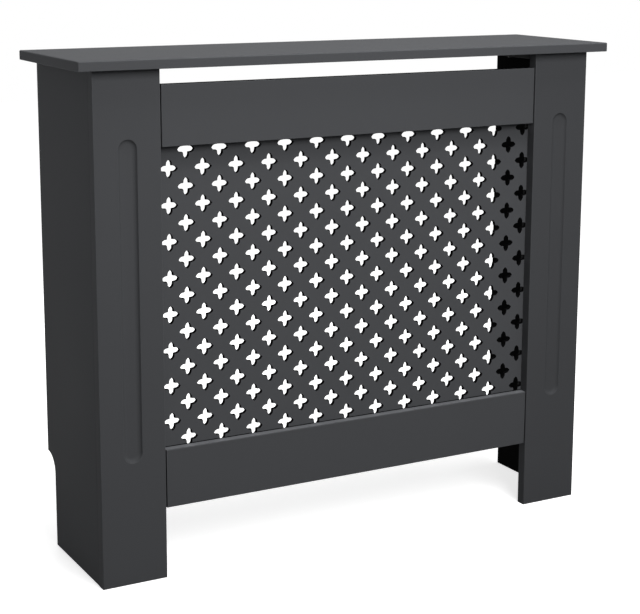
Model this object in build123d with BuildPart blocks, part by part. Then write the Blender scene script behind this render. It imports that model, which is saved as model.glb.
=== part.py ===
from build123d import *

import os
from math import sqrt

# A radiator cover cabinet of painted board: a shelf on two fluted stiles and two side panels,
# a front frame of two rails, and a sheet pierced with crosses behind the opening.
# Millimetres. The front faces -Y, the wall is on the +Y side, +Z is up.
# The origin is on the floor, under the middle of the whole cabinet.

# Carcass
cabinet_width = 900.0  # over the two side panels
body_height = 800.0  # floor to the underside of the shelf
body_depth = 245.0  # front of the stiles to the wall
panel_thickness = 15.0

# Shelf
shelf_thickness = 15.0
shelf_end_overhang = 28.0
shelf_front_overhang = 20.0
arris = 1.0  # the small flat that eases each sharp edge in view

# Front frame
stile_width = 107.0
stile_thickness = 18.0
rail_height = 94.0
rail_thickness = 15.0
vent_gap = 25.0  # slot between the shelf and the top rail
floor_gap = 113.5  # gap between the floor and the bottom rail

# Stopped flute down the middle of each stile
flute_width = 30.0
flute_floor = 15.0  # width of its flat floor, between the two coves
flute_depth = 5.0
flute_foot = 196.0  # floor to the flute's lower end
flute_head = 104.0  # shelf to the flute's upper end

# Pierced sheet
sheet_thickness = 6.0
sheet_lap = 20.0  # how far it reaches behind the rails and stiles
cross_pitch = 56.9  # from one cross to the next along a row
cross_reach = 13.75  # from a cross's centre to the end of a lobe
cross_waist = 5.2  # from a cross's axes to the corner between two lobes
cross_end = 6.2  # width of a lobe's blunt end
pattern_shift = 4.3  # the sheet is cut this far off the middle of its pattern

# Beads that hold the sheet
bead_width = 15.0
bead_thickness = 10.0

# Battens in the front corners, cleats under the shelf
batten_size = 20.0
batten_foot = 20.0
cleat_width = 20.0
cleat_height = 20.0
cleat_rear_gap = 15.0

# Cut-out for the skirting board at the rear foot of each side panel
skirting_depth = 33.0
skirting_height = 154.0
skirting_ledge = 3.0  # the straight bit above the rounded corner

# Biscuit joints of rails and stiles
biscuit_length = 56.0
biscuit_width = 23.0
biscuit_thickness = 4.0
slot_cutter_radius = 50.0
slot_spare = 1.0  # how much deeper a slot is than half a biscuit
biscuit_play = 0.1

# Pan-head screws
screw_sides = 12  # a screw and its hole are round, drawn with this many flats
shank_radius = 2.0
head_radius = 4.0
head_height = 2.4
head_ease = 0.8
shelf_screw_bite = 10.0  # how far it goes into the shelf
shelf_screw_inset = 40.0  # from each end of a cleat
bracket_screw_bite = 10.0  # how far it goes into the side panel
screw_play = 0.1
pilot_spare = 0.5  # how much deeper a pilot hole is than its screw

# Wall brackets
bracket_thickness = 2.0
bracket_width = 20.0
bracket_leg = 34.0
bracket_bend = 1.0  # inside radius of the bend
bracket_drop = 50.0  # shelf to the top of the bracket
bracket_screw_inset = 12.0  # wall to the nearer screw
bracket_screw_pitch = 13.0
wall_hole_radius = 2.75
wall_hole_inset = 22.0  # side panel to the wall screw

# Places that follow from them
half_width = cabinet_width / 2
inner_half = half_width - panel_thickness
opening_half = half_width - stile_width
opening_width = 2 * opening_half
wall_y = (body_depth + shelf_front_overhang) / 2
face_y = wall_y - body_depth
frame_back_y = face_y + stile_thickness
sheet_back_y = frame_back_y + sheet_thickness
rail_middle_y = frame_back_y - rail_thickness / 2
top_rail_foot = body_height - vent_gap - rail_height
bottom_rail_top = floor_gap + rail_height
cleat_foot = body_height - cleat_height
bracket_foot = body_height - bracket_drop - bracket_width
pilot_radius = shank_radius + screw_play
flute_half = flute_width / 2

hands = {"left": -1, "right": 1}
rail_feet = {"top": top_rail_foot, "bottom": floor_gap}

os.makedirs("parts", exist_ok=True)


def front_plane(x, y, z):
    """An upright plane that faces the front, with its X to the right and its Y up."""
    return Plane(origin=(x, y, z), x_dir=(1, 0, 0), z_dir=(0, -1, 0))


def pan_screw(length):
    """A pan-head wood screw on the Z axis, its head below the XY plane and its shank above."""
    with BuildPart() as screw:
        with BuildSketch():
            RegularPolygon(head_radius, screw_sides)
        extrude(amount=-head_height)
        chamfer(screw.faces().sort_by(Axis.Z)[0].edges(), length=head_ease)
        with BuildSketch():
            RegularPolygon(shank_radius, screw_sides)
        extrude(amount=length)
    return screw.part


def half_flute():
    """Half the section of a flute: its depth along Y, its width along X, the board's face on X."""
    with BuildSketch() as section:
        with BuildLine():
            Line((0, 0), (0, flute_depth))
            Line((0, flute_depth), (flute_floor / 2, flute_depth))
            TangentArc((flute_floor / 2, flute_depth), (flute_half, 0), tangent=(1, 0))
            Line((flute_half, 0), (0, 0))
        make_face()
    return section.sketch


# Top shelf: a flat board with eased edges, drilled underneath for the screws in the cleats
shelf_width = cabinet_width + 2 * shelf_end_overhang
shelf_depth = body_depth + shelf_front_overhang
cleat_length = wall_y - cleat_rear_gap - frame_back_y
cleat_middle_x = inner_half - cleat_width / 2
cleat_middle_y = frame_back_y + cleat_length / 2
shelf_screw_pitch = cleat_length - 2 * shelf_screw_inset
shelf_pilot_depth = shelf_screw_bite + pilot_spare

with BuildPart() as shelf:
    with BuildSketch(Plane.XY.offset(body_height)):
        Rectangle(shelf_width, shelf_depth)
    extrude(amount=shelf_thickness)
    chamfer(shelf.edges(), length=arris)
    with BuildSketch(Plane((0, cleat_middle_y, body_height))):
        with GridLocations(2 * cleat_middle_x, shelf_screw_pitch, 2, 2):
            RegularPolygon(pilot_radius, screw_sides)
    extrude(amount=shelf_pilot_depth, mode=Mode.SUBTRACT)
shelf.part.label = "top_shelf"
export_step(shelf.part, "parts/top_shelf.step")

# Stiles: each has a flute with a flat floor and coved sides, stopped short of both ends of the
# board. The cutter's section runs up the board and turns half a circle at each stop.
flute_low = flute_foot + flute_half
flute_high = body_height - flute_head - flute_half
slot_depth = biscuit_width / 2 + slot_spare
slot_offset = slot_cutter_radius - slot_depth
slot_width = biscuit_thickness + 2 * biscuit_play

for hand, side in hands.items():
    stile_x = side * (half_width - stile_width / 2)
    with BuildPart() as stile:
        with BuildSketch(front_plane(stile_x, face_y, 0)):
            Rectangle(stile_width, body_height, align=(Align.CENTER, Align.MIN))
        extrude(amount=-stile_thickness)
        chamfer(stile.faces().sort_by(Axis.Y)[0].edges().filter_by(Axis.Z), length=arris)
        with BuildSketch(Plane((stile_x, face_y, flute_low))):
            add(half_flute())
            mirror(about=Plane.YZ)
        extrude(amount=flute_high - flute_low, mode=Mode.SUBTRACT)
        for stop_z, turn in ((flute_low, 1), (flute_high, -1)):
            with BuildSketch(Plane((stile_x, face_y, stop_z))):
                add(half_flute())
            revolve(
                axis=Axis((stile_x, face_y, stop_z), (0, turn, 0)),
                revolution_arc=180,
                mode=Mode.SUBTRACT,
            )
        for rail_foot in rail_feet.values():
            slot_x = side * (opening_half - slot_offset)
            with BuildSketch(front_plane(slot_x, rail_middle_y, rail_foot + rail_height / 2)):
                Circle(slot_cutter_radius)
            extrude(amount=slot_width / 2, both=True, mode=Mode.SUBTRACT)
    stile.part.label = f"{hand}_stile"
    export_step(stile.part, f"parts/{hand}_stile.step")

# Rails: set back from the stiles so that all the backs are in one plane
for place, rail_foot in rail_feet.items():
    rail_middle_z = rail_foot + rail_height / 2
    with BuildPart() as rail:
        with BuildSketch(front_plane(0, frame_back_y, rail_middle_z)):
            Rectangle(opening_width, rail_height)
        extrude(amount=rail_thickness)
        chamfer(rail.faces().sort_by(Axis.Y)[0].edges(), length=arris)
        for side in hands.values():
            slot_x = side * (opening_half + slot_offset)
            with BuildSketch(front_plane(slot_x, rail_middle_y, rail_middle_z)):
                Circle(slot_cutter_radius)
            extrude(amount=slot_width / 2, both=True, mode=Mode.SUBTRACT)
    rail.part.label = f"{place}_rail"
    export_step(rail.part, f"parts/{place}_rail.step")

    # Biscuits: pressed beech ovals, half in the rail's end and half in the stile's edge
    with BuildPart() as biscuits:
        for side in hands.values():
            joint = Plane(
                origin=(side * opening_half, rail_middle_y, rail_middle_z),
                x_dir=(0, 0, 1),
                z_dir=(0, -1, 0),
            )
            with BuildSketch(joint):
                with BuildLine():
                    ThreePointArc(
                        (-biscuit_length / 2, 0), (0, biscuit_width / 2), (biscuit_length / 2, 0)
                    )
                    ThreePointArc(
                        (biscuit_length / 2, 0), (0, -biscuit_width / 2), (-biscuit_length / 2, 0)
                    )
                make_face()
            extrude(amount=biscuit_thickness / 2, both=True)
    biscuits.part.label = f"{place}_rail_biscuits"
    export_step(biscuits.part, f"parts/{place}_rail_biscuits.step")

# Pierced sheet: crosses with four tapering lobes, on two square grids half a pitch apart, so
# that they stand on a diagonal lattice
opening_height = top_rail_foot - bottom_rail_top
opening_middle_z = bottom_rail_top + opening_height / 2
cross_columns = int(opening_width / cross_pitch)
short_rows = int(opening_height / cross_pitch)
quarter_pitch = cross_pitch / 4
lobe = [
    (0, 0),
    (cross_waist, -cross_waist),
    (cross_reach, -cross_end / 2),
    (cross_reach, cross_end / 2),
    (cross_waist, cross_waist),
]

with BuildSketch() as cross:
    with PolarLocations(0, 4):
        Polygon(*lobe, align=None)

with BuildSketch() as crosses:
    for shift, rows in ((-quarter_pitch, short_rows), (quarter_pitch, short_rows + 1)):
        with Locations((pattern_shift + shift, 0)):
            with GridLocations(cross_pitch, cross_pitch, cross_columns, rows):
                add(cross.sketch)

with BuildPart() as sheet:
    with BuildSketch(front_plane(0, sheet_back_y, opening_middle_z)):
        Rectangle(opening_width + 2 * sheet_lap, opening_height + 2 * sheet_lap)
        add(crosses.sketch, mode=Mode.SUBTRACT, clean=False)
    extrude(amount=sheet_thickness, clean=False)
sheet.part.label = "grille_sheet"
export_step(sheet.part, "parts/grille_sheet.step")

# Beads: strips round the back of the sheet, flush with its edges, the side ones between the
# other two
bead_run = opening_height + 2 * sheet_lap - 2 * bead_width
bead_x = opening_half + sheet_lap - bead_width / 2
bead_z = opening_height / 2 + sheet_lap - bead_width / 2
beads = {
    "top": (0, bead_z, opening_width + 2 * sheet_lap, bead_width),
    "bottom": (0, -bead_z, opening_width + 2 * sheet_lap, bead_width),
    "left": (-bead_x, 0, bead_width, bead_run),
    "right": (bead_x, 0, bead_width, bead_run),
}

for place, (x, z, width, height) in beads.items():
    with BuildPart() as bead:
        with BuildSketch(front_plane(x, sheet_back_y, opening_middle_z + z)):
            Rectangle(width, height)
        extrude(amount=-bead_thickness)
    bead.part.label = f"{place}_grille_bead"
    export_step(bead.part, f"parts/{place}_grille_bead.step")

# Side panels, with the cut-out for the skirting board and the pilot holes of the wall bracket
bracket_middle_z = bracket_foot + bracket_width / 2
bracket_screw_y = [wall_y - bracket_screw_inset - n * bracket_screw_pitch for n in range(2)]
bracket_pilot_depth = bracket_screw_bite + pilot_spare

for hand, side in hands.items():
    with BuildPart() as panel:
        with BuildSketch(Plane.YZ.offset(side * half_width)) as outline:
            with Locations((frame_back_y, 0)):
                Rectangle(wall_y - frame_back_y, body_height, align=(Align.MIN, Align.MIN))
            with Locations((wall_y, 0)):
                Rectangle(
                    skirting_depth,
                    skirting_height,
                    align=(Align.MAX, Align.MIN),
                    mode=Mode.SUBTRACT,
                )
            notch_corner = (wall_y - skirting_depth, skirting_height)
            fillet(
                outline.vertices().sort_by_distance(notch_corner)[0],
                radius=skirting_depth - skirting_ledge,
            )
        extrude(amount=-side * panel_thickness)
        with BuildSketch(Plane.YZ.offset(side * inner_half)):
            with Locations(*[(y, bracket_middle_z) for y in bracket_screw_y]):
                RegularPolygon(pilot_radius, screw_sides)
        extrude(amount=side * bracket_pilot_depth, mode=Mode.SUBTRACT)
    panel.part.label = f"{hand}_side_panel"
    export_step(panel.part, f"parts/{hand}_side_panel.step")

    # Batten: glued into the corner behind the stile
    with BuildPart() as batten:
        with BuildSketch(Plane.XY.offset(batten_foot)):
            with Locations((side * inner_half, frame_back_y)):
                Rectangle(
                    batten_size,
                    batten_size,
                    align=(Align.MAX if side > 0 else Align.MIN, Align.MIN),
                )
        extrude(amount=cleat_foot - batten_foot)
    batten.part.label = f"{hand}_corner_batten"
    export_step(batten.part, f"parts/{hand}_corner_batten.step")

    # Cleat: along the top of the side panel, drilled through for the shelf's screws
    with BuildPart() as cleat:
        with BuildSketch(Plane((side * cleat_middle_x, cleat_middle_y, cleat_foot))):
            Rectangle(cleat_width, cleat_length)
            with GridLocations(0, shelf_screw_pitch, 1, 2):
                RegularPolygon(pilot_radius, screw_sides, mode=Mode.SUBTRACT)
        extrude(amount=cleat_height)
    cleat.part.label = f"{hand}_shelf_cleat"
    export_step(cleat.part, f"parts/{hand}_shelf_cleat.step")

    # Wall bracket: a bent steel angle, one leg on the side panel and one against the wall
    with BuildPart() as bracket:
        with BuildSketch(Plane((side * inner_half, wall_y, bracket_foot))):
            with BuildLine():
                FilletPolyline(
                    (0, -bracket_leg),
                    (0, 0),
                    (-side * bracket_leg, 0),
                    radius=bracket_bend + bracket_thickness,
                )
                FilletPolyline(
                    (-side * bracket_thickness, -bracket_leg),
                    (-side * bracket_thickness, -bracket_thickness),
                    (-side * bracket_leg, -bracket_thickness),
                    radius=bracket_bend,
                )
                Line((0, -bracket_leg), (-side * bracket_thickness, -bracket_leg))
                Line((-side * bracket_leg, 0), (-side * bracket_leg, -bracket_thickness))
            make_face()
        extrude(amount=bracket_width)
        with BuildSketch(Plane.YZ.offset(side * inner_half)):
            with Locations(*[(y, bracket_middle_z) for y in bracket_screw_y]):
                RegularPolygon(pilot_radius, screw_sides)
        extrude(amount=-side * bracket_thickness, mode=Mode.SUBTRACT)
        wall_hole_x = side * (inner_half - wall_hole_inset)
        with BuildSketch(front_plane(wall_hole_x, wall_y, bracket_middle_z)):
            Circle(wall_hole_radius)
        extrude(amount=bracket_thickness, mode=Mode.SUBTRACT)
    bracket.part.label = f"{hand}_wall_bracket"
    export_step(bracket.part, f"parts/{hand}_wall_bracket.step")

# Screws up through the cleats into the shelf
with BuildPart() as shelf_screws:
    with Locations((0, cleat_middle_y, cleat_foot)):
        with GridLocations(2 * cleat_middle_x, shelf_screw_pitch, 2, 2):
            add(pan_screw(cleat_height + shelf_screw_bite))
shelf_screws.part.label = "shelf_screws"
export_step(shelf_screws.part, "parts/shelf_screws.step")

# Screws through the brackets into the side panels
bracket_inner_x = inner_half - bracket_thickness
with BuildPart() as bracket_screws:
    for side in hands.values():
        for y in bracket_screw_y:
            with Locations(Plane((side * bracket_inner_x, y, bracket_middle_z), z_dir=(side, 0, 0))):
                add(pan_screw(bracket_thickness + bracket_screw_bite))
bracket_screws.part.label = "wall_bracket_screws"
export_step(bracket_screws.part, "parts/wall_bracket_screws.step")

# Facts of the fits, for whoever reads the build
cove_radius = ((flute_half - flute_floor / 2) ** 2 + flute_depth**2) / (2 * flute_depth)
slot_length = 2 * sqrt(slot_cutter_radius**2 - slot_offset**2)
print(f"cove radius {cove_radius:.2f}")
print(f"biscuit slot {slot_length:.1f} long, biscuit {biscuit_length:.1f}")
print(f"crosses {cross_columns} x {2 * short_rows + 1}")
print(f"overall {shelf_width:.0f} x {shelf_depth:.0f} x {body_height + shelf_thickness:.0f}")
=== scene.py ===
import math

import bmesh
import bpy
import numpy as np
from mathutils import Matrix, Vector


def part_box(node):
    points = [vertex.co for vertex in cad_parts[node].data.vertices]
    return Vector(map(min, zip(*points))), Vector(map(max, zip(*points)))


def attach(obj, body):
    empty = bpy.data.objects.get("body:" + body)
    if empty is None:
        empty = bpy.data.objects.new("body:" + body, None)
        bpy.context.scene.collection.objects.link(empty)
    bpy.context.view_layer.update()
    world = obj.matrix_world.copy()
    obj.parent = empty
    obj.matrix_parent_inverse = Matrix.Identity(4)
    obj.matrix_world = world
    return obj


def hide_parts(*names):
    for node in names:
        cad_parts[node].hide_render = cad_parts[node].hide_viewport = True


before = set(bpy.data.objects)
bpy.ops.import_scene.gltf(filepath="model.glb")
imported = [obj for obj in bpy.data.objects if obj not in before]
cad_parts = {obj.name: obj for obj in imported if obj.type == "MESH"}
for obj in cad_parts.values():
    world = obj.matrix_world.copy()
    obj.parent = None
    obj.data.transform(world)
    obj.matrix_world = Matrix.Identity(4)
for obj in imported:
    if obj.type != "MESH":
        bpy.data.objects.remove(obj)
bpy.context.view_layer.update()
scene = bpy.context.scene
mm = 0.001
print("frame:", len(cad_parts), "nodes")


def nodeBox(name):
    # lowest and highest corner of a node as two arrays
    low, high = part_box(name)
    return np.array(low), np.array(high)


# Which axis a board's width, height and thickness run along
boardPlanes = {"front": (0, 2, 1), "flat": (0, 1, 2), "side": (1, 2, 0)}


def toPlace(width, height, thick, plane):
    # board coordinates to places in the frame: each goes to the axis that the plane names
    width, height, thick = np.broadcast_arrays(width, height, thick)
    place = np.empty(width.shape + (3,))
    for value, axis in zip((width, height, thick), boardPlanes[plane]):
        place[..., axis] = value
    return place


def ringQuads(rows, count, first=0, closed=True):
    # quads between each row of points and the next, where a row is a ring of count points
    along = np.arange(count if closed else count - 1)
    after = (along + 1) % count
    row = np.arange(rows - 1)[:, None] * count + first
    quads = np.stack([row + along, row + after, row + count + after, row + count + along], axis=-1)
    return quads.reshape(-1, 4)


def makePiece(name, points, faces, materials, replaces, edge=None, others=(), smooth=40):
    # one closed mesh from a list of places and faces, with its doubles merged and its faces outwards;
    # edge is 1 on eased edges and 0 elsewhere, and others lists the faces in the second material, in the
    # third, and so on
    mesh = bpy.data.meshes.new(name)
    mesh.from_pydata(np.reshape(points, (-1, 3)), [], faces)
    # the edge attribute lightens the paint on eased edges, as wear and as a painted highlight
    edgeWearAndHighlight = mesh.attributes.new("edge", "FLOAT", "POINT")
    if edge is not None:
        edgeWearAndHighlight.data.foreach_set("value", np.ascontiguousarray(edge, dtype=np.float32).ravel())
    index = np.zeros(len(mesh.polygons), dtype=np.int32)
    for number, chosen in enumerate(others, 1):
        index[list(chosen)] = number
    mesh.polygons.foreach_set("material_index", index)
    for material in materials:
        mesh.materials.append(material)
    form = bmesh.new()
    form.from_mesh(mesh)
    bmesh.ops.remove_doubles(form, verts=form.verts, dist=0.002 * mm)
    bmesh.ops.recalc_face_normals(form, faces=form.faces)
    form.to_mesh(mesh)
    form.free()
    mesh.shade_smooth()
    mesh.set_sharp_from_angle(angle=math.radians(smooth))
    corners = np.zeros(len(mesh.polygons), dtype=np.int32)
    mesh.polygons.foreach_get("loop_total", corners)
    mesh.polygons.foreach_set("use_smooth", corners <= 4)  # flat faces of many corners stay flat
    piece = bpy.data.objects.new(name, mesh)
    scene.collection.objects.link(piece)
    level = piece.modifiers.new("flatFaces", "WEIGHTED_NORMAL")
    level.keep_sharp = True
    level.weight = 100
    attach(piece, "root")
    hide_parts(*replaces)


# Camera, at the photograph's place: turned to the right of straight ahead and tipped down, in degrees
camera = {
    "place": (-1.2618, -2.2809, 0.9907), "turn": 28.76, "tip": 10.73, "roll": 0.2,
    "lens": 88.87, "sensor": 36.0, "shiftY": -0.11,
}


def makeCamera():
    # turned about the upright, tipped, then rolled about its own line of sight
    data = bpy.data.cameras.new("camera")
    data.sensor_width = camera["sensor"]
    data.lens = camera["lens"]
    data.shift_y = camera["shiftY"]
    eye = bpy.data.objects.new("camera", data)
    turn = Matrix.Rotation(math.radians(-camera["turn"]), 4, "Z")
    tip = Matrix.Rotation(math.radians(90 - camera["tip"]), 4, "X")
    roll = Matrix.Rotation(math.radians(camera["roll"]), 4, "Z")
    eye.matrix_world = Matrix.Translation(camera["place"]) @ turn @ tip @ roll
    scene.collection.objects.link(eye)
    scene.camera = eye


makeCamera()
print("camera made")


def addNode(tree, kind, values=None, **settings):
    node = tree.nodes.new(kind)
    for key, value in settings.items():
        setattr(node, key, value)
    for key, value in (values or {}).items():
        node.inputs[key].default_value = value
    return node


def newGroup(name, inputs, outputs):
    # a shader group with named sockets, inputs as name: (kind, default)
    group = bpy.data.node_groups.new(name, "ShaderNodeTree")
    for key, (kind, value) in inputs.items():
        socket = group.interface.new_socket(key, in_out="INPUT", socket_type="NodeSocket" + kind)
        socket.default_value = value
    for key, kind in outputs.items():
        group.interface.new_socket(key, in_out="OUTPUT", socket_type="NodeSocket" + kind)
    return group, group.nodes.new("NodeGroupInput"), group.nodes.new("NodeGroupOutput")


def makePaintFilm():
    # sprayed paint: a tone that drifts slowly, edges lighter as wear and as a painted highlight, and the
    # fine pimples of a sprayed coat as a bump
    group, given, out = newGroup("paintFilm", {
        "Base": ("Color", (0.05, 0.05, 0.05, 1)),
        "Drift": ("Float", 0.04), "Drift Scale": ("Float", 6.0),
        "Edge Gain": ("Float", 0.2),
        "Gloss Base": ("Float", 0.5), "Gloss Drift": ("Float", 0.06),
        "Pimple Scale": ("Float", 900.0), "Pimple Height": ("Float", 0.02 * mm),
    }, {"Color": "Color", "Roughness": "Float", "Normal": "Vector"})
    link = group.links.new
    place = addNode(group, "ShaderNodeTexCoord").outputs["Object"]
    drift = addNode(group, "ShaderNodeTexNoise", {"Detail": 3.0, "Roughness": 0.55})
    link(place, drift.inputs["Vector"])
    link(given.outputs["Drift Scale"], drift.inputs["Scale"])
    centred = addNode(group, "ShaderNodeMath", {1: 0.5}, operation="SUBTRACT")
    link(drift.outputs["Fac"], centred.inputs[0])
    tone = addNode(group, "ShaderNodeMath", {2: 1.0}, operation="MULTIPLY_ADD")
    link(centred.outputs[0], tone.inputs[0])
    link(given.outputs["Drift"], tone.inputs[1])
    edgeWearAndHighlight = addNode(group, "ShaderNodeAttribute", attribute_name="edge")
    gain = addNode(group, "ShaderNodeMath", operation="MULTIPLY_ADD")
    link(edgeWearAndHighlight.outputs["Fac"], gain.inputs[0])
    link(given.outputs["Edge Gain"], gain.inputs[1])
    link(tone.outputs[0], gain.inputs[2])
    tinted = addNode(group, "ShaderNodeVectorMath", operation="SCALE")
    link(given.outputs["Base"], tinted.inputs[0])
    link(gain.outputs[0], tinted.inputs["Scale"])
    link(tinted.outputs[0], out.inputs["Color"])
    sheen = addNode(group, "ShaderNodeMath", operation="MULTIPLY_ADD")
    link(centred.outputs[0], sheen.inputs[0])
    link(given.outputs["Gloss Drift"], sheen.inputs[1])
    link(given.outputs["Gloss Base"], sheen.inputs[2])
    link(sheen.outputs[0], out.inputs["Roughness"])
    pimples = addNode(group, "ShaderNodeTexNoise", {"Detail": 2.0, "Roughness": 0.45})
    link(place, pimples.inputs["Vector"])
    link(given.outputs["Pimple Scale"], pimples.inputs["Scale"])
    bump = addNode(group, "ShaderNodeBump", {"Strength": 1.0})
    link(pimples.outputs["Fac"], bump.inputs["Height"])
    link(given.outputs["Pimple Height"], bump.inputs["Distance"])
    link(bump.outputs["Normal"], out.inputs["Normal"])
    return group


def makeWoodGrain():
    # straight grain: rings across the strip, wavering slowly along it, as a mask from 0 to 1
    group, given, out = newGroup("woodGrain", {
        "Squeeze": ("Vector", (1.0, 1.0, 0.04)),
        "Ring Scale": ("Float", 140.0), "Waver": ("Float", 2.5), "Fibre Scale": ("Float", 1600.0),
    }, {"Grain": "Float"})
    link = group.links.new
    place = addNode(group, "ShaderNodeTexCoord").outputs["Object"]
    along = addNode(group, "ShaderNodeVectorMath", operation="MULTIPLY")
    link(place, along.inputs[0])
    link(given.outputs["Squeeze"], along.inputs[1])
    rings = addNode(group, "ShaderNodeTexNoise", {"Detail": 3.0})
    link(along.outputs[0], rings.inputs["Vector"])
    link(given.outputs["Ring Scale"], rings.inputs["Scale"])
    link(given.outputs["Waver"], rings.inputs["Distortion"])
    fibres = addNode(group, "ShaderNodeTexNoise", {"Detail": 2.0})
    link(along.outputs[0], fibres.inputs["Vector"])
    link(given.outputs["Fibre Scale"], fibres.inputs["Scale"])
    both = addNode(group, "ShaderNodeMix", {"Factor": 0.35}, data_type="FLOAT")
    link(rings.outputs["Fac"], both.inputs["A"])
    link(fibres.outputs["Fac"], both.inputs["B"])
    link(both.outputs["Result"], out.inputs["Grain"])
    return group


paintFilm = makePaintFilm()
woodGrain = makeWoodGrain()


def newMaterial(name, values):
    # a Principled material with nothing linked yet
    material = bpy.data.materials.new(name)
    material.use_nodes = True
    shader = material.node_tree.nodes["Principled BSDF"]
    for key, value in values.items():
        shader.inputs[key].default_value = value
    return material, material.node_tree, shader


def placeGroup(tree, group, values):
    node = tree.nodes.new("ShaderNodeGroup")
    node.node_tree = group
    for key, value in values.items():
        node.inputs[key].default_value = value
    return node


def makePaint(name, paint, colour, values=None):
    # a paint film and nothing else, with the paint's own values for its sockets and perhaps some more
    material, tree, shader = newMaterial(name, {"Specular IOR Level": paint["specular"]})
    film = placeGroup(tree, paintFilm, {"Base": (*colour, 1), **paint["film"], **(values or {})})
    tree.links.new(film.outputs["Color"], shader.inputs["Base Color"])
    tree.links.new(film.outputs["Roughness"], shader.inputs["Roughness"])
    tree.links.new(film.outputs["Normal"], shader.inputs["Normal"])
    return material


# Anthracite paint: one colour, times a tone for each board that is painted light and shade, lighter or
# darker as light falls on that board
anthracite = {
    "colour": (0.0630, 0.0648, 0.0688), "specular": 0.02,
    "film": {"Drift": 0.10, "Edge Gain": 0.25, "Gloss Base": 0.6, "Gloss Drift": 0.10},
}


def makeAnthracite(name, tone, driftScale=5.0):
    # tone is the board's painted light and shade, a scale on the paint's colour
    colour = [tone * level for level in anthracite["colour"]]
    return makePaint(name, anthracite, colour, {"Drift Scale": driftScale})


def shadeBand(material, heights, tones):
    # darkens the paint between two heights, as a dark joint line and as painted shade where two boards
    # meet: the paint's colour times a tone, which goes evenly from the first height's to the second's and
    # stays as it is past them
    tree = material.node_tree
    colour = tree.nodes["Principled BSDF"].inputs["Base Color"]
    place = addNode(tree, "ShaderNodeTexCoord")
    axes = addNode(tree, "ShaderNodeSeparateXYZ")
    rise = addNode(tree, "ShaderNodeMapRange", {"From Min": heights[0], "From Max": heights[1],
                                                "To Min": tones[0], "To Max": tones[1]})
    shaded = addNode(tree, "ShaderNodeVectorMath", operation="SCALE")
    tree.links.new(place.outputs["Object"], axes.inputs[0])
    tree.links.new(axes.outputs["Z"], rise.inputs["Value"])
    tree.links.new(colour.links[0].from_socket, shaded.inputs[0])
    tree.links.new(rise.outputs["Result"], shaded.inputs["Scale"])
    tree.links.new(shaded.outputs[0], colour)


# Black paint inside: matt, and greyer on the backs of the boards of the front
blackInside = {
    "colour": (0.0035, 0.0035, 0.0037), "back": (0.026, 0.026, 0.0275), "specular": 0.01,
    "film": {"Drift": 0.5, "Drift Scale": 9.0, "Edge Gain": 0.6, "Gloss Base": 0.8, "Gloss Drift": 0.2,
             "Pimple Height": 0.05 * mm},
}

# The same on softwood, whose grain shows through
blackWood = {
    "colour": (0.011, 0.011, 0.0115), "specular": 0.08, "relief": 0.3 * mm,
    "film": {"Drift": 0.6, "Drift Scale": 20.0, "Edge Gain": 0.8, "Gloss Base": 0.7, "Gloss Drift": 0.3,
             "Pimple Height": 0.03 * mm},
}


def makeBlackWood(name, squeeze):
    # the grain is a bump on top of the film's own
    material = makePaint(name, blackWood, blackWood["colour"])
    tree = material.node_tree
    normal = tree.nodes["Principled BSDF"].inputs["Normal"]
    grain = placeGroup(tree, woodGrain, {"Squeeze": squeeze})
    bump = addNode(tree, "ShaderNodeBump", {"Distance": blackWood["relief"]})
    tree.links.new(normal.links[0].from_socket, bump.inputs["Normal"])
    tree.links.new(grain.outputs["Grain"], bump.inputs["Height"])
    tree.links.new(bump.outputs["Normal"], normal)
    return material


# Black lacquer on steel, whose tone and gloss vary from one thread to the next
lacquer = {
    "colour": (0.012, 0.012, 0.013), "specular": 0.3,
    "film": {"Drift": 0.6, "Drift Scale": 300.0, "Gloss Base": 0.38, "Gloss Drift": 0.3,
             "Pimple Scale": 5000.0, "Pimple Height": 0.01 * mm},
}


def addRamp(tree, stops, colours):
    # a colour at each of two stops
    ramp = addNode(tree, "ShaderNodeValToRGB")
    for element, stop, colour in zip(ramp.color_ramp.elements, stops, colours):
        element.position = stop
        element.color = colour
    return ramp


# Beech: pale wood with short dark flecks
beechWood = {
    "dark": (0.42, 0.24, 0.12, 1), "pale": (0.60, 0.40, 0.22, 1), "stops": (0.35, 0.6), "roughness": 0.7,
    "relief": 0.1 * mm, "grain": {"Squeeze": (1.0, 1.0, 0.15), "Ring Scale": 300.0},
}


def makeBeech(name):
    material, tree, shader = newMaterial(name, {"Roughness": beechWood["roughness"]})
    grain = placeGroup(tree, woodGrain, beechWood["grain"])
    ramp = addRamp(tree, beechWood["stops"], (beechWood["dark"], beechWood["pale"]))
    bump = addNode(tree, "ShaderNodeBump", {"Distance": beechWood["relief"]})
    tree.links.new(grain.outputs["Grain"], ramp.inputs["Fac"])
    tree.links.new(ramp.outputs["Color"], shader.inputs["Base Color"])
    tree.links.new(grain.outputs["Grain"], bump.inputs["Height"])
    tree.links.new(bump.outputs["Normal"], shader.inputs["Normal"])
    return material


# Bright zinc plate: a grey whose crystals differ in tone and gloss, with a fine relief
zincPlate = {
    "dark": (0.42, 0.43, 0.45, 1), "bright": (0.66, 0.67, 0.69, 1), "gloss": (0.26, 0.48),
    "relief": 0.03 * mm, "cellScale": 450.0, "cloudScale": 160.0, "cellShare": 0.3,
}


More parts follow.
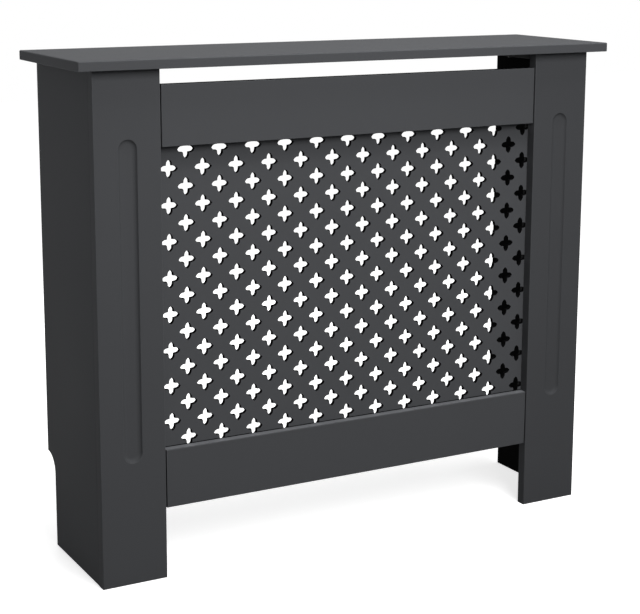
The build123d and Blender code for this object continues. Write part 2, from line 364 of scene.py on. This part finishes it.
def makeZinc(name):
    material, tree, shader = newMaterial(name, {"Metallic": 1.0})
    place = addNode(tree, "ShaderNodeTexCoord").outputs["Object"]
    cells = addNode(tree, "ShaderNodeTexVoronoi", {"Scale": zincPlate["cellScale"]})
    cloud = addNode(tree, "ShaderNodeTexNoise", {"Scale": zincPlate["cloudScale"], "Detail": 4.0})
    both = addNode(tree, "ShaderNodeMix", {"Factor": zincPlate["cellShare"]}, data_type="FLOAT")
    ramp = addRamp(tree, (0.0, 1.0), (zincPlate["dark"], zincPlate["bright"]))
    gloss = addNode(tree, "ShaderNodeMapRange", dict(zip(("To Min", "To Max"), zincPlate["gloss"])))
    bump = addNode(tree, "ShaderNodeBump", {"Distance": zincPlate["relief"]})
    tree.links.new(place, cells.inputs["Vector"])
    tree.links.new(place, cloud.inputs["Vector"])
    tree.links.new(cloud.outputs["Fac"], both.inputs["A"])
    tree.links.new(cells.outputs["Distance"], both.inputs["B"])
    tree.links.new(both.outputs["Result"], ramp.inputs["Fac"])
    tree.links.new(both.outputs["Result"], gloss.inputs["Value"])
    tree.links.new(both.outputs["Result"], bump.inputs["Height"])
    tree.links.new(ramp.outputs["Color"], shader.inputs["Base Color"])
    tree.links.new(gloss.outputs["Result"], shader.inputs["Roughness"])
    tree.links.new(bump.outputs["Normal"], shader.inputs["Normal"])
    return material


blackBoard = makePaint("blackBoard", blackInside, blackInside["colour"])
backBoard = makePaint("backBoard", blackInside, blackInside["back"])
blackSteel = makePaint("blackSteel", lacquer, lacquer["colour"])
beech = makeBeech("beech")
zinc = makeZinc("zinc")
print("materials made")


def cornerArc(centre, radius, start, end, steps):
    # points on an arc, angles in degrees
    angle = np.radians(np.linspace(start, end, steps + 1))
    return np.stack([centre[0] + radius * np.cos(angle), centre[1] + radius * np.sin(angle)], axis=-1)


def roundedRectangle(low, high, radius, steps=3):
    # a rectangle with a quarter circle at each corner, anticlockwise from the lower right
    corners = ((high[0], low[1], -90), (high[0], high[1], 0), (low[0], high[1], 90), (low[0], low[1], 180))
    arcs = []
    for x, y, start in corners:
        inward = (x - radius * (1 if x == high[0] else -1), y - radius * (1 if y == high[1] else -1))
        arcs.append(cornerArc(inward, radius, start, start + 90, steps))
    return np.concatenate(arcs)


def rectangle(low, high):
    # its four corners, anticlockwise from the lower right
    return np.array([(high[0], low[1]), (high[0], high[1]), (low[0], high[1]), (low[0], low[1])])


def outwardNormals(outline):
    # at each corner of an anticlockwise outline, the step that moves both its edges out by one
    edge = np.roll(outline, -1, axis=0) - outline
    edge /= np.linalg.norm(edge, axis=1, keepdims=True)
    after = np.stack([edge[:, 1], -edge[:, 0]], axis=-1)
    before = np.roll(after, 1, axis=0)
    return (before + after) / (1 + np.sum(before * after, axis=1, keepdims=True))


def easedRings(outline, low, high, easeLow, easeHigh, steps=3):
    # the edge of a board: from the low face round a quarter circle, up the wall and round another,
    # as rows of (width, height, thickness) and how much each row is on an eased edge
    turn = np.radians(np.linspace(0, 90, steps + 1))
    inset = np.concatenate([easeLow * (1 - np.sin(turn)), easeHigh * (1 - np.cos(turn))])
    thick = np.concatenate([low + easeLow * (1 - np.cos(turn)), high - easeHigh * (1 - np.sin(turn))])
    lit = np.concatenate([np.sin(2 * turn), np.sin(2 * turn)])
    flat = outline[None] - inset[:, None, None] * outwardNormals(outline)[None]
    rings = np.concatenate([flat, np.broadcast_to(thick[:, None, None], flat.shape[:2] + (1,))], axis=-1)
    return rings, np.repeat(lit, len(outline))


def makeBoard(name, outline, low, high, ease, plane, materials, innerFace=None):
    # a closed board: eased rings round the outline and a flat face at each end
    rings, lit = easedRings(outline, low, high, ease[0], ease[1])
    count = len(outline)
    points = toPlace(rings[..., 0], rings[..., 1], rings[..., 2], plane)
    faces = ringQuads(len(rings), count).tolist()
    faces.append(list(range(count))[::-1])
    faces.append(list(range((len(rings) - 1) * count, len(rings) * count)))
    inner = {"low": [len(faces) - 2], "high": [len(faces) - 1]}.get(innerFace, [])
    makePiece(name + "_dressed", points, faces, materials, [name], edge=lit, others=[inner])


# Shelf, whose tone is painted light: its paint lighter than the other boards'
shelf = {"corner": 2.2 * mm, "lowerEase": 1.0 * mm, "upperEase": 2.0 * mm, "tone": 1.13}


def makeShelf():
    low, high = nodeBox("top_shelf")
    outline = roundedRectangle(low[:2], high[:2], shelf["corner"])
    paint = makeAnthracite("shelfPaint", shelf["tone"], 3.0)
    makeBoard("top_shelf", outline, low[2], high[2], (shelf["lowerEase"], shelf["upperEase"]), "flat",
              [paint])


makeShelf()
print("shelf made")

# Rails: each end stands back from its stile in front, by a groove's width, and meets it behind that
# groove. The seam is a black strip along the back of the upper side
rail = {
    "ease": 1.3 * mm, "backEase": 0.3 * mm, "groove": (3.0 * mm, 0.5 * mm), "grooveDepth": 4 * mm,
    "slope": 1 * mm, "seam": 0.8 * mm,
    # the tones are painted light, each rail lighter than the paint's own colour; the upper tone is painted
    # light on the bottom rail's upper side, as if lit from above
    "tones": {"top_rail": 1.09, "bottom_rail": 1.06}, "paintedLightUpperTone": 2.4,
}


def makeRail(name, tone):
    # eased rings from the front, in past the grooves, out to the stiles and on to the back
    low, high = nodeBox(name)
    left, right = rail["groove"]
    front = rectangle((low[0] + left, low[2]), (high[0] - right, high[2]))
    back = rectangle(low[[0, 2]], high[[0, 2]])
    rows, lit = easedRings(front, low[1], high[1], rail["ease"], rail["backEase"])
    behind, _ = easedRings(back, low[1], high[1], rail["ease"], rail["backEase"])
    half, count = len(rows) // 2, len(front)
    floor = low[1] + rail["grooveDepth"]
    walls = [(front, floor), (back, floor + rail["slope"]), (back, high[1] - rail["seam"])]
    walls = [np.insert(outline, 2, y, axis=1) for outline, y in walls]
    rings = np.concatenate([rows[:half], walls, behind[half:]])
    lit = np.concatenate([lit[:half * count], np.zeros(len(walls) * count), lit[half * count:]])
    points = toPlace(rings[..., 0], rings[..., 1], rings[..., 2], "front")
    faces = ringQuads(len(rings), count).tolist()
    faces += [list(range(count))[::-1], list(range((len(rings) - 1) * count, len(rings) * count))]
    # the top rail's upper side, in the vent, is painted black as painted shade under the shelf. The bottom
    # rail's is lighter than its front, as painted light from above, but for the seam
    upperSide = (np.arange(half - 1, len(rings) - 1) * count + 1).tolist()
    light = len(walls) if name == "bottom_rail" else 0
    black, paintedLightFaces = upperSide[light:], upperSide[:light]
    paints = [makeAnthracite(name + "Paint", tone), blackBoard,
              makeAnthracite(name + "UpperPaintedLight", rail["paintedLightUpperTone"]), backBoard]
    makePiece(name + "_dressed", points, faces, paints, [name], edge=lit,
              others=[black, paintedLightFaces, [len(faces) - 1]])


for name, tone in rail["tones"].items():
    makeRail(name, tone)
print("rails made")

# Stiles, with the stopped flute: its width, flat floor and depth, and its distance from both ends
# the tones are painted light and shade: the right stile darker than the left
stile = {"ease": 1.4 * mm, "backEase": 0.3 * mm, "tones": {"left": 1.01, "right": 0.92}}
flute = {
    "width": 30 * mm, "floor": 15 * mm, "depth": 5 * mm, "foot": 196 * mm, "head": 104 * mm,
    "turns": 24, "coves": 10,
    # the small round at its rim: its size, its rows' reach and depth as shares of that, and how much
    # lighter its paint is, as wear and as a painted highlight
    "rim": 0.5 * mm, "rimReach": (-0.1, 0.35, 1), "rimSunk": (0.55, 0.12, 0), "rimWearAndHighlight": 0.6,
}


def fluteRings(centreX, lowZ, highZ, face):
    # the cove's section carried round a stadium: out from the flat floor along a circle that touches
    # it, then over a small round at the rim. A row is a ring, at a reach from the stadium's axis
    half, floor, depth = flute["width"] / 2, flute["floor"] / 2, flute["depth"]
    radius = ((half - floor) ** 2 + depth ** 2) / (2 * depth)
    sweep = np.linspace(0, math.asin((half - floor) / radius), flute["coves"] + 1)
    reach = floor + radius * np.sin(sweep)
    sunk = depth - radius * (1 - np.cos(sweep))
    reach = np.append(reach[:-1], half + flute["rim"] * np.array(flute["rimReach"]))
    sunk = np.append(sunk[:-1], flute["rim"] * np.array(flute["rimSunk"]))
    angle = np.linspace(0, math.pi, flute["turns"] + 1)
    angle = np.concatenate([angle, angle + math.pi])
    middle = np.where(np.arange(len(angle)) <= flute["turns"], highZ, lowZ)
    x = centreX + reach[:, None] * np.cos(angle)
    z = middle + reach[:, None] * np.sin(angle)
    return np.stack([x, np.broadcast_to(face + sunk[:, None], x.shape), z], axis=-1)


def makeStile(hand):
    # a board whose front is open, the flute's rings, and flat parts between the two
    name = hand + "_stile"
    low, high = nodeBox(name)
    reach = flute["width"] / 2
    lowZ, highZ = low[2] + flute["foot"] + reach, high[2] - flute["head"] - reach
    # the outline has a point on each side level with the two ends of the flute's axis
    box = rectangle(low[[0, 2]], high[[0, 2]])
    outline = np.array([box[0], (high[0], lowZ), (high[0], highZ), box[1],
                        box[2], (low[0], highZ), (low[0], lowZ), box[3]])
    rightLow, rightHigh, leftHigh, leftLow = 1, 2, 5, 6
    rings, lit = easedRings(outline, low[1], high[1], stile["ease"], stile["backEase"])
    count = len(outline)
    board = toPlace(rings[..., 0], rings[..., 1], rings[..., 2], "front")
    groove = fluteRings((low[0] + high[0]) / 2, lowZ, highZ, low[1])
    turns = 2 * (flute["turns"] + 1)
    first = board.shape[0] * count
    rim = first + (len(groove) - 1) * turns
    faces = ringQuads(len(board), count).tolist()
    faces.append(list(range((len(board) - 1) * count, len(board) * count)))
    back = len(faces) - 1
    faces += ringQuads(len(groove), turns, first).tolist()
    faces.append(list(range(first, first + turns)))
    # the flat face round the flute: one part over its head, one on each side, one under its foot
    half = flute["turns"]
    head = list(range(rim, rim + half + 1))
    foot = list(range(rim + half + 1, rim + turns))
    faces.append(head + list(range(leftHigh, rightHigh - 1, -1)))
    faces.append([rim + half, rim + half + 1, leftLow, leftHigh])
    faces.append(foot + [rightLow, 0, count - 1, leftLow])
    faces.append([rim + turns - 1, rim, rightHigh, rightLow])
    points = np.concatenate([board.reshape(-1, 3), groove.reshape(-1, 3)])
    grooveLit = np.zeros(groove.shape[:2])
    grooveLit[-2] = flute["rimWearAndHighlight"]
    paint = makeAnthracite(name + "Paint", stile["tones"][hand])
    makePiece(name + "_dressed", points, faces, [paint, backBoard], [name],
              edge=np.concatenate([lit, grooveLit.ravel()]), others=[[back]])


for hand in ("left", "right"):
    makeStile(hand)
print("stiles made")

# Side panels, cut out for the skirting board at the rear foot
side = {
    "ease": 1.0 * mm, "skirtingDepth": 33 * mm, "skirtingHeight": 154 * mm, "ledge": 3 * mm, "steps": 14,
    # the tone is painted shade, the side panels darker than the front
    "tone": 0.93,
}


def makeSidePanel(hand):
    # the cut-out is straight up, a quarter circle back, and a short ledge to the rear edge
    name = hand + "_side_panel"
    low, high = nodeBox(name)
    radius = side["skirtingDepth"] - side["ledge"]
    notchY = high[1] - side["skirtingDepth"]
    centre = (high[1] - side["ledge"], side["skirtingHeight"] - radius)
    notch = cornerArc(centre, radius, 180, 90, side["steps"])
    outline = np.concatenate([
        [(low[1], low[2]), (notchY, low[2])], notch,
        [(high[1], side["skirtingHeight"]), (high[1], high[2]), (low[1], high[2])],
    ])
    paint = makeAnthracite(name + "Paint", side["tone"])
    makeBoard(name, outline, low[0], high[0], (side["ease"],) * 2, "side", [paint, blackBoard],
              innerFace="high" if hand == "left" else "low")


for hand in ("left", "right"):
    makeSidePanel(hand)
print("side panels made")

# Pierced sheet: the pattern's pitch along a row, how far it is off the middle to the right and above it,
# and its crosses across and its rows
sheet = {
    "pitch": 56.9 * mm, "shift": 4.3 * mm, "raised": 2 * mm, "columns": 24, "rows": 17,
    "clear": 14 * mm,  # the raised part ends this far outside the outermost centres
    # one lobe of a cross in mm, from the corner below it out to its tip in the middle and back
    "lobe": [(4.6, -4.6), (9.4, -4.1), (12.1, -2.5), (13.8, 0), (12.1, 2.5), (9.4, 4.1)],
    "draft": (-0.3 * mm, 0.5 * mm),  # how much wider than drawn a cross is behind and in front
    # the tone is painted light, the sheet lighter than the paint's own colour
    "ease": 0.3 * mm, "tone": 1.12,
    # a black joint line at the bottom rail, its height and blur, and painted shade below the top rail, its
    # reach and tone
    "joint": 1.1 * mm, "jointBlur": 0.33 * mm, "jointTone": 0.06, "shade": 43 * mm, "shadeTone": 0.64,
    "slack": 1e-6, "digits": 7,  # how closely points of the border have to agree, in metres
}


def crossOutline():
    # four lobes, each turned a quarter from the last
    lobe = np.array(sheet["lobe"]) * mm
    quarter = np.array([[0, 1], [-1, 0]])
    return np.concatenate([lobe @ np.linalg.matrix_power(quarter, k) for k in range(4)])


def cellOutline():
    # the square that stands on its corner round each cross, with a point for each of the cross's:
    # the walk is 0 at the right corner, 1 at the top one, and so on
    steps = len(sheet["lobe"])
    walk = (np.arange(4 * steps) - steps / 2) / steps % 4
    angle = np.radians(90 * np.arange(5))
    x = np.interp(walk, range(5), np.cos(angle))
    z = np.interp(walk, range(5), np.sin(angle))
    return sheet["pitch"] / 2 * np.stack([x, z], axis=-1)


def goRound(points, middle):
    # points in their order round a middle, anticlockwise
    x, z = (points - middle).T
    return points[np.argsort(np.arctan2(z, x))]


def borderFaces(cell, gridX, gridZ):
    # outside the outermost crosses, the halves and quarters of squares that make the pattern's zigzag
    # edge straight; and the points of that straight edge, anticlockwise
    low, high = np.array([gridX[0], gridZ[0]]), np.array([gridX[-1], gridZ[-1]])
    polygons, edge = [], [low, high, (low[0], high[1]), (high[0], low[1])]
    for c, x in enumerate(gridX):
        for r, z in enumerate(gridZ):
            onEdge = c in (0, len(gridX) - 1) or r in (0, len(gridZ) - 1)
            if onEdge and (c + r) % 2 == 0:
                edge.append((x, z))
            elif onEdge:
                near = cell + (x, z)
                inside = (near > low - sheet["slack"]) & (near < high + sheet["slack"])
                near = near[np.all(inside, axis=1)]
                if len(near) < len(cell) / 2:
                    near = np.append(near, [(x, z)], axis=0)
                polygons.append(goRound(near, near.mean(axis=0)))
    edge = np.unique(np.round(edge, sheet["digits"]), axis=0)
    return polygons, goRound(edge, (low + high) / 2)


def makeSheet():
    # a square with a cross through it at each centre, a border that fills up the pattern's edge, and a
    # plain margin
    low, high = nodeBox("grille_sheet")
    front, back, half = low[1], high[1], sheet["pitch"] / 2
    middleX = (low[0] + high[0]) / 2 + sheet["shift"]
    middleZ = (low[2] + high[2]) / 2
    gridX = middleX + (np.arange(-1, sheet["columns"] + 1) - (sheet["columns"] - 1) / 2) * half
    gridZ = middleZ + (np.arange(-1, sheet["rows"] + 1) - (sheet["rows"] - 1) / 2) * half
    # crosses stand on every other place of the grid, inside its outermost ring
    c, r = np.meshgrid(np.arange(1, len(gridX) - 1), np.arange(1, len(gridZ) - 1), indexing="ij")
    c, r = c[(c + r) % 2 == 1], r[(c + r) % 2 == 1]
    centres = np.stack([gridX[c], gridZ[r]], axis=-1)
    hole, cell = crossOutline(), cellOutline()
    out, mouth = (hole + wider * outwardNormals(hole) for wider in sheet["draft"])
    rings = [(cell, back), (out, back), (mouth, front), (cell, front)]
    flat = np.stack([outline for outline, _ in rings])
    depth = np.array([y for _, y in rings])
    shape = (len(centres), len(rings), len(hole))
    cells = np.empty(shape + (3,))
    cells[..., 0] = centres[:, None, None, 0] + flat[None, ..., 0]
    cells[..., 1] = depth[None, :, None]
    cells[..., 2] = centres[:, None, None, 1] + flat[None, ..., 1]
    quads = ringQuads(len(rings), len(hole))
    faces = quads[None] + np.arange(len(centres))[:, None, None] * len(rings) * len(hole)
    points, faces = [cells.reshape(-1, 3)], faces.reshape(-1, 4).tolist()
    row = np.tile(np.arange(len(quads)) // len(hole), len(centres))
    behind, walls = (np.flatnonzero(row == k).tolist() for k in range(2))
    total = len(points[0])
    polygons, edge = borderFaces(cell, gridX, gridZ)
    for y in (front, back):
        for polygon in polygons:
            points.append(np.insert(polygon, 1, y, axis=1))
            if y == back:
                behind.append(len(faces))
            faces.append(list(range(total, total + len(polygon))))
            total += len(polygon)
    # the margin, from the pattern's straight edge out to the sheet's own, round it and back behind
    inLow, inHigh = np.array([gridX[0], gridZ[0]]), np.array([gridX[-1], gridZ[-1]])
    ease = sheet["ease"]
    margin = [np.insert(edge, 1, front, axis=1)]
    for inset, y in ((ease, front), (0, front + ease), (0, back - ease), (ease, back)):
        outLow, outHigh = low[[0, 2]] + inset, high[[0, 2]] - inset
        ring = outLow + (edge - inLow) / (inHigh - inLow) * (outHigh - outLow)
        margin.append(np.insert(ring, 1, y, axis=1))
    margin.append(np.insert(edge, 1, back, axis=1))
    faces += ringQuads(len(margin), len(edge), total).tolist()
    behind += range(len(faces) - len(edge), len(faces))
    points += margin
    points = np.concatenate(points)
    # the crosses stand a little higher than the middle, and only the plain border gives way to that
    knots = np.array([low[2], gridZ[1] - sheet["clear"], gridZ[-2] + sheet["clear"], high[2]])
    points[:, 2] = np.interp(points[:, 2], knots, knots + sheet["raised"] * np.array([0, 1, 1, 0]))
    paint = makeAnthracite("sheetPaint", sheet["tone"])
    # a black joint line along the bottom rail, and painted shade towards the top rail
    seat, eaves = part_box("bottom_rail")[1][2] + sheet["joint"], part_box("top_rail")[0][2]
    shadeBand(paint, (seat, seat + sheet["jointBlur"]), (sheet["jointTone"], 1.0))
    shadeBand(paint, (eaves - sheet["shade"], eaves), (1.0, sheet["shadeTone"]))
    makePiece("grille_sheet_dressed", points, faces, [paint, blackBoard, backBoard],
              ["grille_sheet"], others=[walls, behind])


makeSheet()
print("sheet made")

# Softwood strips behind the front: which way each one's grain runs is its longest side
strip = {
    "ease": 0.8 * mm, "stretch": 0.04,  # how much less the grain changes along a strip than across it
    "names": ["left_corner_batten", "right_corner_batten", "top_grille_bead", "bottom_grille_bead",
              "left_grille_bead", "right_grille_bead", "left_shelf_cleat", "right_shelf_cleat"],
}


def makeStrips():
    woods = []
    for axis in range(3):
        squeeze = [strip["stretch"] if k == axis else 1 for k in range(3)]
        woods.append(makeBlackWood("blackWood" + "XYZ"[axis], squeeze))
    for name in strip["names"]:
        low, high = nodeBox(name)
        long = int(np.argmax(high - low))
        plane = {0: "side", 1: "front", 2: "flat"}[long]
        across = list(boardPlanes[plane][:2])
        outline = roundedRectangle(low[across], high[across], strip["ease"])
        makeBoard(name, outline, low[long], high[long], (strip["ease"],) * 2, plane, [woods[long]])


makeStrips()
print("strips made")

# Screws with a pan head and a cross recess
screw = {
    "turns": 48, "headRadius": 4 * mm, "headHeight": 2.4 * mm,
    # the head's domed top, as shares of its radius and height, and the rows of its side below that
    "dome": 0.9, "domeFall": 0.22, "domeRows": 12,
    "sideRadius": (0.97, 1.0, 1.0, 0.97), "sideHeight": (0.66, 0.52, 0.06, 0.0),
    # the recess: its depth, its arms' length and half width, and how far its sides and ends slope
    "recess": 1.5 * mm, "arm": 2.3 * mm, "armHalf": 0.55 * mm, "sideSlope": 0.3 * mm, "endSlope": 1.2 * mm,
    # the thread: its rows a turn, how narrow its ridge is, and its tip's length, blunt end and curve
    "crest": 2.0 * mm, "root": 1.55 * mm, "pitch": 1.8 * mm, "threadRows": 6, "ridge": 5,
    "tip": 5 * mm, "tipEnd": 0.04, "tipCurve": 0.7,
}


def screwGrid(length):
    # a surface of revolution about the z axis, with the head's underside at 0, its top below that and
    # the shank above. A row is a ring. The thread is a ridge that climbs one pitch each turn
    angle = 2 * np.pi * np.arange(screw["turns"]) / screw["turns"]
    ring = np.linspace(0, 1, screw["domeRows"] + 1)[1:, None]
    reach = screw["headRadius"] * screw["dome"] * ring
    x, y = reach * np.cos(angle), reach * np.sin(angle)
    # how deep the recess is: two crossed slots with sloping sides, which end at the arms' tips
    slotX, slotY = (np.clip((screw["armHalf"] - np.abs(off)) / screw["sideSlope"] + 1, 0, 1)
                    * np.clip((screw["arm"] - np.abs(along)) / screw["endSlope"], 0, 1)
                    for off, along in ((y, x), (x, y)))
    top = screw["recess"] * np.maximum(slotX, slotY)
    top -= screw["headHeight"] * (1 - screw["domeFall"] * ring ** 3)
    climb = np.linspace(0, length, int(length / screw["pitch"] * screw["threadRows"]))[:, None]
    phase = (climb / screw["pitch"] - angle / (2 * np.pi)) % 1
    ridge = np.clip(1 - np.abs(phase - 0.5) * screw["ridge"], 0, 1)
    taper = np.clip((length - climb) / screw["tip"], screw["tipEnd"], 1) ** screw["tipCurve"]
    shank = (screw["root"] + (screw["crest"] - screw["root"]) * ridge) * taper
    rim = screw["headRadius"] * np.array(screw["sideRadius"])[:, None]
    rimHeight = -screw["headHeight"] * np.array(screw["sideHeight"])[:, None]
    rows = []
    for radius, height in ((reach, top), (rim, rimHeight), (shank, climb)):
        x, y = radius * np.cos(angle), radius * np.sin(angle)
        rows.append(np.stack([x, y, np.broadcast_to(height, x.shape)], axis=-1))
    return np.concatenate(rows)


def makeScrews(name, places, material):
    # each place is where the head's underside sits, the axis from head to tip, and the length below it
    points, faces, total = [], [], 0
    for place, axis, length in places:
        grid = screwGrid(length)
        rows, turns = grid.shape[:2]
        along = np.array(axis, dtype=float)
        across = np.array([along[2], along[0], along[1]])
        turned = np.stack([across, np.cross(along, across), along])
        points.append(grid.reshape(-1, 3) @ turned + place)
        faces += ringQuads(rows, turns, total).tolist()
        faces.append(list(range(total, total + turns)))
        total += rows * turns
        faces.append(list(range(total - turns, total)))
    makePiece(name + "_dressed", np.concatenate(points), faces, [material], [name], smooth=35)


def makeAllScrews():
    low, high = nodeBox("shelf_screws")
    heads = low[2] + screw["headHeight"]
    x = high[0] - screw["headRadius"]
    rows = (low[1] + screw["headRadius"], high[1] - screw["headRadius"])
    places = [((hand * x, y, heads), (0, 0, 1), high[2] - heads) for hand in (-1, 1) for y in rows]
    makeScrews("shelf_screws", places, blackSteel)
    low, high = nodeBox("wall_bracket_screws")
    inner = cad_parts["wall_bracket_screws"]
    corners = np.empty(len(inner.data.vertices) * 3)
    inner.data.vertices.foreach_get("co", corners)
    heads = np.abs(corners.reshape(-1, 3)[:, 0]).min() + screw["headHeight"]
    rows = (low[1] + screw["headRadius"], high[1] - screw["headRadius"])
    z = (low[2] + high[2]) / 2
    places = [((hand * heads, y, z), (hand, 0, 0), high[0] - heads) for hand in (-1, 1) for y in rows]
    makeScrews("wall_bracket_screws", places, zinc)


makeAllScrews()
print("screws made")


def dressCadNodes(materials):
    # CAD nodes whose shape stands as it is get a finish of their own
    for name, material in materials.items():
        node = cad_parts[name]
        node.data.materials.clear()
        node.data.materials.append(material)


dressCadNodes({"left_wall_bracket": zinc, "right_wall_bracket": zinc,
               "top_rail_biscuits": beech, "bottom_rail_biscuits": beech})
print("brackets and biscuits dressed")

# Light: a dim surrounding, a broad lamp in front, a long one overhead, a weak one on each side, and one
# behind, which makes no sheen on the shelf
light = {
    "surround": 0.15, "floorTone": 0.15, "floorSeen": 0.9, "floorSize": 14.0,
    "glowNear": 0.62, "glowFar": 0.9, "near": 0.5, "far": 1.6,
}
light["lamps"] = {
    "keyLamp": {"place": (0, -2.0, 1.6), "aim": (0, 0, 0.4), "size": (1.2, 1.2), "power": 42},
    "topLamp": {"place": (0.4, -0.45, 3.2), "aim": (0, -0.1, 0.5), "size": (1.8, 0.4), "power": 45},
    "leftLamp": {"place": (-1.1, 0.02, 0.75), "aim": (-0.45, 0.02, 0.6), "size": (0.4, 0.1), "power": 1.0},
    "rightLamp": {"place": (1.1, 0.02, 0.75), "aim": (0.45, 0.02, 0.6), "size": (0.4, 0.1), "power": 1.0},
    "rearLamp": {"place": (0, 1.8, 1.2), "aim": (0, 0, 0.5), "size": (1.2, 1.2), "power": 14,
                 "sheen": False},
}


def makeLamps():
    # area lamps, each turned from its place to its aim with its first side level
    for name, values in light["lamps"].items():
        data = bpy.data.lights.new(name, "AREA")
        data.shape = "RECTANGLE"
        data.size, data.size_y = values["size"]
        data.energy = values["power"]
        lamp = bpy.data.objects.new(name, data)
        lamp.visible_glossy = values.get("sheen", True)
        back = np.array(values["place"]) - values["aim"]
        back /= np.linalg.norm(back)
        right = np.cross((0, 0, 1), back)
        right /= np.linalg.norm(right)
        turn = Matrix(np.stack([right, np.cross(back, right), back], axis=-1).tolist())
        lamp.matrix_world = Matrix.Translation(values["place"]) @ turn.to_4x4()
        scene.collection.objects.link(lamp)


def seenDirectly(tree):
    # 1 for what the camera, a reflection or a view through glass sees, 0 for light that falls on things
    path = addNode(tree, "ShaderNodeLightPath")
    first = addNode(tree, "ShaderNodeMath", operation="MAXIMUM")
    both = addNode(tree, "ShaderNodeMath", operation="MAXIMUM")
    tree.links.new(path.outputs["Is Camera Ray"], first.inputs[0])
    tree.links.new(path.outputs["Is Glossy Ray"], first.inputs[1])
    tree.links.new(first.outputs[0], both.inputs[0])
    tree.links.new(path.outputs["Is Transmission Ray"], both.inputs[1])
    return both.outputs[0]


def makeSurround():
    # white where it is seen, and dim as a light
    world = bpy.data.worlds.new("surround")
    scene.world = world
    world.use_nodes = True
    tree = world.node_tree
    tone = addNode(tree, "ShaderNodeMix", {"A": light["surround"], "B": 1.0}, data_type="FLOAT")
    tree.links.new(seenDirectly(tree), tone.inputs["Factor"])
    tree.links.new(tone.outputs["Result"], tree.nodes["Background"].inputs["Color"])


def makeFloor():
    # a pale floor that melts into the white surround: where it is seen directly it glows by the share
    # that its own light lacks, a little less near the object, so that only the object's shadow shows
    half = light["floorSize"] / 2
    mesh = bpy.data.meshes.new("floor")
    corners = [(-half, -half, 0), (half, -half, 0), (half, half, 0), (-half, half, 0)]
    mesh.from_pydata(corners, [], [(0, 1, 2, 3)])
    floor = bpy.data.objects.new("floor", mesh)
    scene.collection.objects.link(floor)
    material = bpy.data.materials.new("floorPale")
    material.use_nodes = True
    tree = material.node_tree
    tree.nodes.clear()
    diffuse = addNode(tree, "ShaderNodeBsdfDiffuse")
    tone = addNode(tree, "ShaderNodeMix", {"A": light["floorTone"], "B": light["floorSeen"]},
                   data_type="FLOAT")
    glow = addNode(tree, "ShaderNodeEmission", {"Color": (1, 1, 1, 1)})
    place = addNode(tree, "ShaderNodeTexCoord")
    reach = addNode(tree, "ShaderNodeVectorMath", operation="LENGTH")
    share = addNode(tree, "ShaderNodeMapRange", {"From Min": light["near"], "From Max": light["far"],
                                                 "To Min": light["glowNear"], "To Max": light["glowFar"]})
    strength = addNode(tree, "ShaderNodeMath", operation="MULTIPLY")
    both = addNode(tree, "ShaderNodeAddShader")
    out = addNode(tree, "ShaderNodeOutputMaterial")
    seen = seenDirectly(tree)
    tree.links.new(seen, tone.inputs["Factor"])
    tree.links.new(tone.outputs["Result"], diffuse.inputs["Color"])
    tree.links.new(place.outputs["Object"], reach.inputs[0])
    tree.links.new(reach.outputs["Value"], share.inputs["Value"])
    tree.links.new(share.outputs["Result"], strength.inputs[1])
    tree.links.new(seen, strength.inputs[0])
    tree.links.new(strength.outputs[0], glow.inputs["Strength"])
    tree.links.new(diffuse.outputs[0], both.inputs[0])
    tree.links.new(glow.outputs[0], both.inputs[1])
    tree.links.new(both.outputs[0], out.inputs["Surface"])
    mesh.materials.append(material)


makeLamps()
makeSurround()
makeFloor()
scene.view_settings.view_transform = "Standard"
print("light and floor made")
